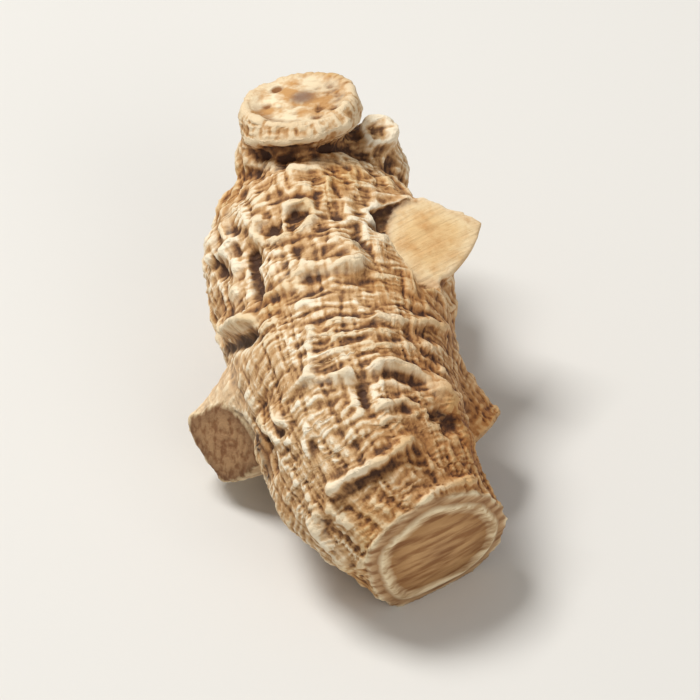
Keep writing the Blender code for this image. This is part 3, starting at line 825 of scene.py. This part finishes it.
total = add_node(
    limb_tree, "ShaderNodeMath", {0: ring_high.outputs[0], 1: groove_deep.outputs[0]}, operation="ADD"
)
limb_tree.links.new(total.outputs[0], result.inputs["Height"])
print("nodes for one limb:", len(limb_tree.nodes))

# %% [markdown]
# ### The whole tree
#
# Each limb's height is weighed by how much a point belongs to it, and the sum
# is held back on the cut faces and in the scar, which are smooth. After the
# skin is lifted, the tree measures how far each point stands above its
# blurred surroundings, at three scales. These numbers drive the colour: crests
# are rubbed pale, and grooves and hollows are dark, partly from soil and partly
# as painted shade.

# %% Lift the fine skin
CREST_SCALES = (("crest_fine", 3), ("crest_middle", 20), ("crest_broad", 150))

skin_tree, given, result = new_group(
    "GeometryNodeTree",
    "fine skin",
    (("Geometry", "NodeSocketGeometry"),) + FINE_SIZES + (("Finish", "NodeSocketMaterial"),),
    (("Geometry", "NodeSocketGeometry"),),
)
lift = 0.0
for name, _, _ in LIMBS:
    there = add_node(
        skin_tree, "GeometryNodeInputNamedAttribute", {"Name": name + "_place"}, data_type="FLOAT_VECTOR"
    )
    share = add_node(skin_tree, "GeometryNodeInputNamedAttribute", {"Name": name + "_share"})
    inputs = {label: given[label] for label, _ in FINE_SIZES}
    inputs["Place"] = there.outputs["Attribute"]
    one = add_node(skin_tree, "GeometryNodeGroup", inputs, node_tree=limb_tree)
    weighed = {0: one.outputs["Height"], 1: share.outputs["Attribute"], 2: lift}
    lift = add_node(skin_tree, "ShaderNodeMath", weighed, operation="MULTIPLY_ADD").outputs[0]
bare = 0.0
for name in ("cut", "scar", "resting"):
    mask = add_node(skin_tree, "GeometryNodeInputNamedAttribute", {"Name": name})
    larger = {0: mask.outputs["Attribute"], 1: bare}
    bare = add_node(skin_tree, "ShaderNodeMath", larger, operation="MAXIMUM").outputs[0]
covered = add_node(skin_tree, "ShaderNodeMath", {0: 1.0, 1: bare}, operation="SUBTRACT")
held = add_node(skin_tree, "ShaderNodeMath", {0: lift, 1: covered.outputs[0]}, operation="MULTIPLY")
normal = add_node(skin_tree, "GeometryNodeInputNormal")
offset = add_node(
    skin_tree, "ShaderNodeVectorMath", {0: normal.outputs[0], "Scale": held.outputs[0]}, operation="SCALE"
)
lifted = add_node(
    skin_tree, "GeometryNodeSetPosition", {"Geometry": given["Geometry"], "Offset": offset.outputs[0]}
)
surface = lifted.outputs["Geometry"]
for name, rounds in CREST_SCALES:
    where = add_node(skin_tree, "GeometryNodeInputPosition")
    blurred = add_node(
        skin_tree,
        "GeometryNodeBlurAttribute",
        {"Value": where.outputs[0], "Iterations": rounds},
        data_type="FLOAT_VECTOR",
    )
    ends = {0: where.outputs[0], 1: blurred.outputs["Value"]}
    away = add_node(skin_tree, "ShaderNodeVectorMath", ends, operation="SUBTRACT")
    out = add_node(skin_tree, "GeometryNodeInputNormal")
    above = add_node(
        skin_tree, "ShaderNodeVectorMath", {0: away.outputs[0], 1: out.outputs[0]}, operation="DOT_PRODUCT"
    )
    stored = add_node(
        skin_tree,
        "GeometryNodeStoreNamedAttribute",
        {"Geometry": surface, "Name": name, "Value": above.outputs["Value"]},
    )
    surface = stored.outputs["Geometry"]
smooth = add_node(skin_tree, "GeometryNodeSetShadeSmooth", {"Geometry": surface})
real = add_node(skin_tree, "GeometryNodeRealizeInstances", {"Geometry": smooth.outputs["Geometry"]})
finish = add_node(
    skin_tree, "GeometryNodeSetMaterial", {"Geometry": real.outputs["Geometry"], "Material": given["Finish"]}
)
skin_tree.links.new(finish.outputs["Geometry"], result.inputs["Geometry"])
print("nodes in the tree:", len(skin_tree.nodes))

# %% [markdown]
# ## Dried root skin
#
# Dried ginseng is matt and has no varnish. Its crests are cream where they rub
# against each other, its flanks tan, and its grooves brown from the soil that
# stays in them, and darkened further with painted shade, as are its hollows.
# The mesh carries relief down to half a millimetre. What is finer than that,
# hair rings and hair wrinkles, is made in the material, in a group that reads
# the same unrolled places, so its lines run with the mesh's.

# %% Hair rings and hair wrinkles
HAIR_RING_SPACING = 0.62
HAIR_RING_WEIGHT = 0.45
HAIR_WRINKLE_WIDTH = 0.5
HAIR_WRINKLE_LENGTH = 3.5
HAIR_WRINKLE_WEIGHT = 0.9
GRAIN_SIZE = 0.3
GRAIN_WEIGHT = 0.5
HAIR_START = -0.32

hair_tree, given, result = new_group(
    "ShaderNodeTree",
    "hair lines of a limb",
    (("Place", "NodeSocketVector"),),
    (("Height", "NodeSocketFloat"),),
)
# A wave texture of scale 1 repeats every 2 pi / 20
hair_rings = add_node(
    hair_tree,
    "ShaderNodeTexWave",
    {
        "Vector": given["Place"],
        "Scale": 2.0 * np.pi / (20.0 * HAIR_RING_SPACING),
        "Distortion": 7.0,
        "Detail": 3.0,
        "Detail Scale": 1.2,
    },
    wave_type="BANDS",
    bands_direction="Z",
)
patchy = add_node(hair_tree, "ShaderNodeTexNoise", {"Vector": given["Place"], "Scale": 0.45, "Detail": 1.0})
span = {"Value": patchy.outputs["Fac"], "From Min": 0.38, "From Max": 0.62, "To Max": HAIR_RING_WEIGHT}
patches = add_node(hair_tree, "ShaderNodeMapRange", span)
squeeze = 1.0 / HAIR_WRINKLE_WIDTH
drawn = add_node(
    hair_tree,
    "ShaderNodeVectorMath",
    {0: given["Place"], 1: (squeeze, squeeze, 1.0 / HAIR_WRINKLE_LENGTH)},
    operation="MULTIPLY",
)
hair_wrinkles = add_node(
    hair_tree, "ShaderNodeTexNoise", {"Vector": drawn.outputs[0], "Scale": 1.0, "Detail": 2.0}
)
grain = add_node(
    hair_tree, "ShaderNodeTexNoise", {"Vector": given["Place"], "Scale": 1.0 / GRAIN_SIZE, "Detail": 2.0}
)
# The three lie round 0.8 in all, so this start brings their middle to a half
height = HAIR_START
for part, weight in (
    (hair_rings, patches.outputs["Result"]),
    (hair_wrinkles, HAIR_WRINKLE_WEIGHT),
    (grain, GRAIN_WEIGHT),
):
    terms = {0: part.outputs["Fac"], 1: weight, 2: height}
    height = add_node(hair_tree, "ShaderNodeMath", terms, operation="MULTIPLY_ADD").outputs[0]
hair_tree.links.new(height, result.inputs["Height"])
print("nodes for hair lines:", len(hair_tree.nodes))

# %% [markdown]
# ### Colour from height
#
# Three crest numbers and the hair lines add up to one height between 0 and 1,
# and a ramp from dark brown over tan to cream colours it. The dark end is partly
# soil and partly painted shade in grooves and hollows.

# %% The skin's material
# Air-dried ginseng skin: corky and matt, so broad weak highlights
root_skin = bpy.data.materials.new("air_dried_root_skin")
root_skin.use_nodes = True
tree = root_skin.node_tree
shader = tree.nodes["Principled BSDF"]
shader.inputs["Roughness"].default_value = 0.78
shader.inputs["IOR"].default_value = 1.45
shader.inputs["Metallic"].default_value = 0.0

names = ["fold", "cut", "cut_out", "scar", "stem"]
names += [name for name, _ in CREST_SCALES]
names += [name + "_share" for name, _, _ in LIMBS]
names += [name + "_cut" for name, _, _, _, _ in CUTS]
stored = {}
for name in names:
    stored[name] = add_node(tree, "ShaderNodeAttribute", attribute_name=name).outputs["Fac"]
spot = add_node(tree, "ShaderNodeTexCoord").outputs["Object"]
hair = 0.0
for name, _, _ in LIMBS:
    there = add_node(tree, "ShaderNodeAttribute", attribute_name=name + "_place")
    one = add_node(tree, "ShaderNodeGroup", {"Place": there.outputs["Vector"]}, node_tree=hair_tree)
    weighed = {0: one.outputs["Height"], 1: stored[name + "_share"], 2: hair}
    hair = add_node(tree, "ShaderNodeMath", weighed, operation="MULTIPLY_ADD").outputs[0]

# Low crest numbers darken grooves and hollows: partly soil, partly painted shade
CREST_WEIGHTS = (("crest_fine", 0.07, 0.30), ("crest_middle", 0.28, 0.36), ("crest_broad", 0.9, 0.16))
HAIR_WEIGHT = 0.42
CREST_START = -0.12
terms = {0: hair, 1: HAIR_WEIGHT, 2: CREST_START}
crest = add_node(tree, "ShaderNodeMath", terms, operation="MULTIPLY_ADD").outputs[0]
stood = {}
for name, reach, weight in CREST_WEIGHTS:
    span = {"Value": stored[name], "From Min": -reach, "From Max": reach}
    stood[name] = add_node(tree, "ShaderNodeMapRange", span).outputs["Result"]
    terms = {0: stood[name], 1: weight, 2: crest}
    crest = add_node(tree, "ShaderNodeMath", terms, operation="MULTIPLY_ADD").outputs[0]
# The dark end of this ramp is partly soil and partly painted shade in grooves and hollows
SKIN_STOPS = ((0.17, "4a2d18"), (0.75, "f3e6cc"), (0.33, "8d643c"), (0.46, "bd9463"), (0.58, "d4b287"))
skin_colour = add_node(tree, "ShaderNodeValToRGB", {"Fac": crest}, stops=SKIN_STOPS).outputs["Color"]
print("attributes in the material:", len(stored))

# %% [markdown]
# ### Folds, clouds and the browner flank
#
# Folds get a painted highlight along their crests, and creases a painted
# shade. Hair lines still show through both. Soft clouds break the colour up,
# so that no patch is even, the right flank, towards +X, is browner, and the
# left side root is painted paler all over, as painted light for its upturned
# top. Each of these is a layer: how much it shows, its colour and how it is
# blended. All layers are laid on together further on.

# %% Layers over the skin
CLOUDS_PER_METRE = 130.0
LEG_PAINTED_LIGHT = 0.45
layers = []
# Painted highlight along fold crests, then painted shade in creases
for low, high, strength, code in ((0.25, 1.0, 1.0, "f3e6cb"), (-0.2, -0.9, 1.3, "4a2c16")):
    span = {"Value": stored["fold"], "From Min": low, "From Max": high, "To Max": strength}
    share = add_node(tree, "ShaderNodeMapRange", span).outputs["Result"]
    shown = add_node(tree, "ShaderNodeMath", {0: share, 1: hair}, operation="MULTIPLY", use_clamp=True)
    layers.append((shown.outputs[0], linear(code), "MIX"))
cloud = add_node(tree, "ShaderNodeTexNoise", {"Vector": spot, "Scale": CLOUDS_PER_METRE, "Detail": 3.0})
aside = add_node(tree, "ShaderNodeSeparateXYZ", {"Vector": spot})
for value, low, high, strength, code in (
    (cloud.outputs["Fac"], 0.38, 0.66, 1.0, "e6cfaa"),
    # Browner towards +X, on the right flank
    (aside.outputs["X"], 0.002, 0.013, 1.0, "e6caa6"),
    (stored["crown_share"], 0.2, 1.0, 0.8, "e6d5bd"),
):
    span = {"Value": value, "From Min": low, "From Max": high, "To Max": strength}
    share = add_node(tree, "ShaderNodeMapRange", span).outputs["Result"]
    layers.append((share, linear(code), "MULTIPLY"))
# The left side root is painted paler all over: painted light standing in for the light on its upturned top
leg_painted_light = add_node(tree, "ShaderNodeMath", {0: stored["left_leg_share"], 1: LEG_PAINTED_LIGHT}, operation="MULTIPLY")
layers.append((leg_painted_light.outputs[0], linear("f2dfbe"), "MIX"))
print("layers on the skin:", len(layers))

# %% [markdown]
# ## Cut faces
#
# A knife cut shows the core, the thin pale ring of the cambium round it, and
# the bark. How far out a point lies on its cut is a number that a ramp turns
# to these bands. On the tail the pale ring also carries a painted highlight,
# and the darker band outside it is painted shade. The tail's and the left
# leg's cuts went brown in drying, the stub's stayed cream, and the right leg's
# is painted dark brown as painted shade, as it faces down, away from the light.
# Fibres show as faint streaks, and the stub is mottled, with a worn edge.

# %% Colours of the cuts
CUT_STOPS = {
    # Tail: the pale ring is the cambium with a painted highlight, and the dark band outside it is painted
    # shade
    "tail": (
        (0.0, "b2875a"),
        (1.0, "e6d3ae"),
        (0.38, "c29765"),
        (0.66, "a87c4c"),
        (0.745, "e0c69e"),
        (0.80, "eedbb6"),
        (0.86, "ac8459"),
        (0.94, "c19d74"),
    ),
    "left_leg": ((0.0, "ab8058"), (1.0, "e0caa2"), (0.55, "b48c62"), (0.88, "96704c")),
    # Right leg: painted dark brown as painted shade, as the cut faces down, away from the light
    "right_leg": ((0.0, "8a5c34"), (1.0, "b8946a"), (0.7, "976a40")),
    "side_stub": ((0.0, "d6b07a"), (1.0, "ecdab6"), (0.5, "dcb984"), (0.85, "e8d2a8")),
    "stub_under": ((0.0, "c8a06c"), (1.0, "e4caa0")),
}
FIBRE_SIZE = (0.004, 0.0005, 0.0008)
FIBRE_TURN = 0.63
MOTTLES_PER_METRE = 520.0
BAND_WANDER = 0.14
EDGE_WANDER = 0.8
fibre = add_node(
    tree,
    "ShaderNodeMapping",
    {"Vector": spot, "Rotation": (0.0, 0.0, FIBRE_TURN), "Scale": FIBRE_SIZE},
    vector_type="TEXTURE",
).outputs["Vector"]
fibres = add_node(tree, "ShaderNodeTexNoise", {"Vector": fibre, "Scale": 1.0, "Detail": 3.0}).outputs["Fac"]
mottle = add_node(
    tree, "ShaderNodeTexNoise", {"Vector": spot, "Scale": MOTTLES_PER_METRE, "Detail": 4.0, "Roughness": 0.65}
).outputs["Fac"]
bands = []
for pattern, wander in ((fibres, BAND_WANDER), (mottle, EDGE_WANDER)):
    terms = {0: pattern, 1: wander, 2: stored["cut_out"]}
    moved = add_node(tree, "ShaderNodeMath", terms, operation="MULTIPLY_ADD").outputs[0]
    terms = {0: moved, 1: 0.5 * wander}
    bands.append(add_node(tree, "ShaderNodeMath", terms, operation="SUBTRACT").outputs[0])
band, rough_band = bands
streaked = add_node(
    tree, "ShaderNodeValToRGB", {"Fac": fibres}, stops=((0.36, "b99c7c"), (0.56, "ffffff"))
).outputs["Color"]
mottled = add_node(
    tree, "ShaderNodeValToRGB", {"Fac": mottle}, stops=((0.34, "d8b079"), (0.58, "ffffff"))
).outputs["Color"]
worn = add_node(
    tree, "ShaderNodeMapRange", {"Value": rough_band, "From Min": 1.05, "From Max": 0.8}
).outputs["Result"]
for name, stops in CUT_STOPS.items():
    face = add_node(tree, "ShaderNodeValToRGB", {"Fac": band}, stops=stops).outputs["Color"]
    share = stored[name + "_cut"]
    marked = {0: 0.85, 6: face, 7: streaked}
    if "stub" in name:
        share = add_node(tree, "ShaderNodeMath", {0: share, 1: worn}, operation="MULTIPLY").outputs[0]
        marked = {0: 0.55, 6: face, 7: mottled}
    face = add_node(tree, "ShaderNodeMix", marked, data_type="RGBA", blend_type="MULTIPLY").outputs[2]
    layers.append((share, face, "MIX"))
print("cut faces coloured:", len(CUT_STOPS))

# %% [markdown]
# ## Stem scar
#
# The scar is cork: cream, with ochre patches, brown pits that are darkened
# further as painted shade, and the grey spot where the stem's own core broke.
# It is the last layer, so here all of them are laid over the skin in turn.

# %% Colours of the scar, and all layers together
PATCHES_PER_METRE = 420.0
patchy = add_node(
    tree, "ShaderNodeTexNoise", {"Vector": spot, "Scale": PATCHES_PER_METRE, "Detail": 3.0, "Roughness": 0.6}
)
ochre = add_node(
    tree, "ShaderNodeValToRGB", {"Fac": patchy.outputs["Fac"]}, stops=((0.46, "ecdbb8"), (0.62, "c4935a"))
)
# Pits darken with how far they sink below their surroundings: partly their own brown, partly painted shade
pit = add_node(
    tree, "ShaderNodeMapRange", {"Value": stood["crest_middle"], "From Min": 0.45, "From Max": 0.2}
)
mixed = {0: pit.outputs["Result"], 6: ochre.outputs["Color"], 7: linear("8f5f32")}
scar_colour = add_node(tree, "ShaderNodeMix", mixed, data_type="RGBA").outputs[2]
layers.append((stored["scar"], scar_colour, "MIX"))
layers.append((stored["stem"], linear("7a5a48"), "MIX"))
for share, colour, blend in layers:
    mixed = {0: share, 6: skin_colour, 7: colour}
    skin_colour = add_node(tree, "ShaderNodeMix", mixed, data_type="RGBA", blend_type=blend).outputs[2]
tree.links.new(skin_colour, shader.inputs["Base Color"])
print("layers in all:", len(layers))

# %% [markdown]
# ## Bump
#
# The hair lines and the pores are too fine for the mesh, so they only tilt the
# shading. On the cuts and the scar the fibres take the place of the hair lines.

# %% Bump of the hair lines, fibres and pores
PORE_SIZE = 0.12
PORE_WEIGHT = 0.15
BUMP_DEPTH = 0.00028
bare = add_node(tree, "ShaderNodeMath", {0: stored["cut"], 1: stored["scar"]}, operation="MAXIMUM").outputs[0]
ground = add_node(tree, "ShaderNodeMix", {0: bare, 2: hair, 3: fibres}).outputs[0]
pores = add_node(tree, "ShaderNodeTexNoise", {"Vector": spot, "Scale": 1000.0 / PORE_SIZE, "Detail": 1.0})
terms = {0: pores.outputs["Fac"], 1: PORE_WEIGHT, 2: ground}
ground = add_node(tree, "ShaderNodeMath", terms, operation="MULTIPLY_ADD").outputs[0]
bump = add_node(tree, "ShaderNodeBump", {"Height": ground, "Strength": 0.7, "Distance": BUMP_DEPTH})
tree.links.new(bump.outputs["Normal"], shader.inputs["Normal"])
print("material nodes:", len(tree.nodes))

# %% [markdown]
# ## Growing the fine skin
#
# The modifier's inputs are set by their identifiers, before it is evaluated.
# Its result becomes the piece's own mesh and the modifier goes. The mesh then
# moves so that its box stands over the same middle as the solid's box, and it
# is turned to metres.

# %% Run the tree and put the piece in its place
fine_skin = skin.modifiers.new("fine skin", "NODES")
fine_skin.node_group = skin_tree
for item in skin_tree.interface.items_tree:
    if item.in_out == "INPUT" and item.name in FINE_RELIEF:
        fine_skin[item.identifier] = FINE_RELIEF[item.name]
    if item.in_out == "INPUT" and item.name == "Finish":
        fine_skin[item.identifier] = root_skin
apply_modifiers(skin)

FLAT_MARGIN = 0.08
points = read_rows(skin.data.vertices, "co")
flat = points[:, 2] < REST_HEIGHT + FLAT_MARGIN
points[flat, 2] = REST_HEIGHT
node_low, node_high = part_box("ginseng_root")
node_middle = (np.array(node_low) + np.array(node_high)) / 2.0
middle = (points.min(axis=0) + points.max(axis=0)) / 2.0
shift = node_middle * 1000.0 - middle
shift[2] = node_low.z * 1000.0 - points[:, 2].min()
points += shift
move_points(skin.data, points * 0.001)
triangles = sum(len(face.vertices) - 2 for face in skin.data.polygons)
print("fine skin:", triangles, "triangles")
print("box, mm:", np.round(points.min(axis=0), 2), np.round(points.max(axis=0), 2))
print("moved, mm:", np.round(shift, 2))

# %% Tell the frame what the piece is
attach(skin, "root")
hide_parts("ginseng_root")

# %% [markdown]
# ## Floor, light and camera
#
# A pale plain floor and two soft boxes show the relief without drama. The
# stronger and smaller one hangs high above, left and a little behind, so every
# ring throws a soft shadow towards the lower right. The larger, weaker one
# stands in front on the right and opens the shadows.

# %% Floor
FLOOR_SIZE = 3.0
plane = bpy.data.meshes.new("floor")
half = FLOOR_SIZE / 2.0
corners = [(-half, -half, 0), (half, -half, 0), (half, half, 0), (-half, half, 0)]
plane.from_pydata(corners, [], [(0, 1, 2, 3)])
floor = bpy.data.objects.new("floor", plane)
bpy.context.scene.collection.objects.link(floor)
# Matt paper: even, pale and without a highlight
paper = bpy.data.materials.new("matt_paper")
paper.use_nodes = True
paper_shader = paper.node_tree.nodes["Principled BSDF"]
paper_shader.inputs["Base Color"].default_value = linear("d9d6d0")
paper_shader.inputs["Roughness"].default_value = 0.9
plane.materials.append(paper)

# %% Soft light
TARGET = Vector((0.0, 0.0, 0.012))


def soft_box(name, place, size, power):
    """A square light that faces the root."""
    light = bpy.data.lights.new(name, "AREA")
    light.shape = "SQUARE"
    light.size = size
    light.energy = power
    box = bpy.data.objects.new(name, light)
    box.location = place
    box.rotation_euler = (Vector(place) - TARGET).to_track_quat("Z", "Y").to_euler()
    bpy.context.scene.collection.objects.link(box)


soft_box("key", (-0.22, 0.12, 0.52), 0.20, 3.1)
soft_box("fill", (0.35, -0.45, 0.35), 0.45, 1.2)
world = bpy.data.worlds.new("studio")
world.use_nodes = True
backdrop = world.node_tree.nodes["Background"]
backdrop.inputs["Color"].default_value = linear("f4f3f0")
backdrop.inputs["Strength"].default_value = 0.35
bpy.context.scene.world = world

# %% [markdown]
# The camera stands where the photo's camera stood, a little over a metre away
# and 43 degrees up, and looks along the same line at the root. Only the lens
# is longer, so the root fills the frame. The photo's camera pointed a little to
# the right of the root, and turning it the shortest way onto the root leaves a
# slight lean, which is kept.

# %% Camera
PHOTO_PLACE = Vector((0.0757, -0.7663, 0.7360)) + Vector(shift) * 0.001
PHOTO_TILT = np.radians(43.27)
FRAME_PIXELS = 700.0
PHOTO_FOCAL_PIXELS = 2807.2
CLOSER = 4.0
SENSOR = 36.0

camera_data = bpy.data.cameras.new("camera")
camera_data.sensor_width = SENSOR
camera_data.lens = CLOSER * PHOTO_FOCAL_PIXELS / FRAME_PIXELS * SENSOR
camera_data.clip_end = 10.0
camera = bpy.data.objects.new("camera", camera_data)
photo_ahead = Vector((0.0, np.cos(PHOTO_TILT), -np.sin(PHOTO_TILT)))
ahead = (TARGET - PHOTO_PLACE).normalized()
right = photo_ahead.rotation_difference(ahead) @ Vector((1.0, 0.0, 0.0))
upward = right.cross(ahead)
turned = Matrix((right, upward, -ahead)).transposed().to_4x4()
camera.matrix_world = Matrix.Translation(PHOTO_PLACE) @ turned
bpy.context.scene.collection.objects.link(camera)
bpy.context.scene.camera = camera
bpy.context.scene.view_settings.view_transform = "Standard"
print("lens, mm:", round(camera_data.lens, 1))
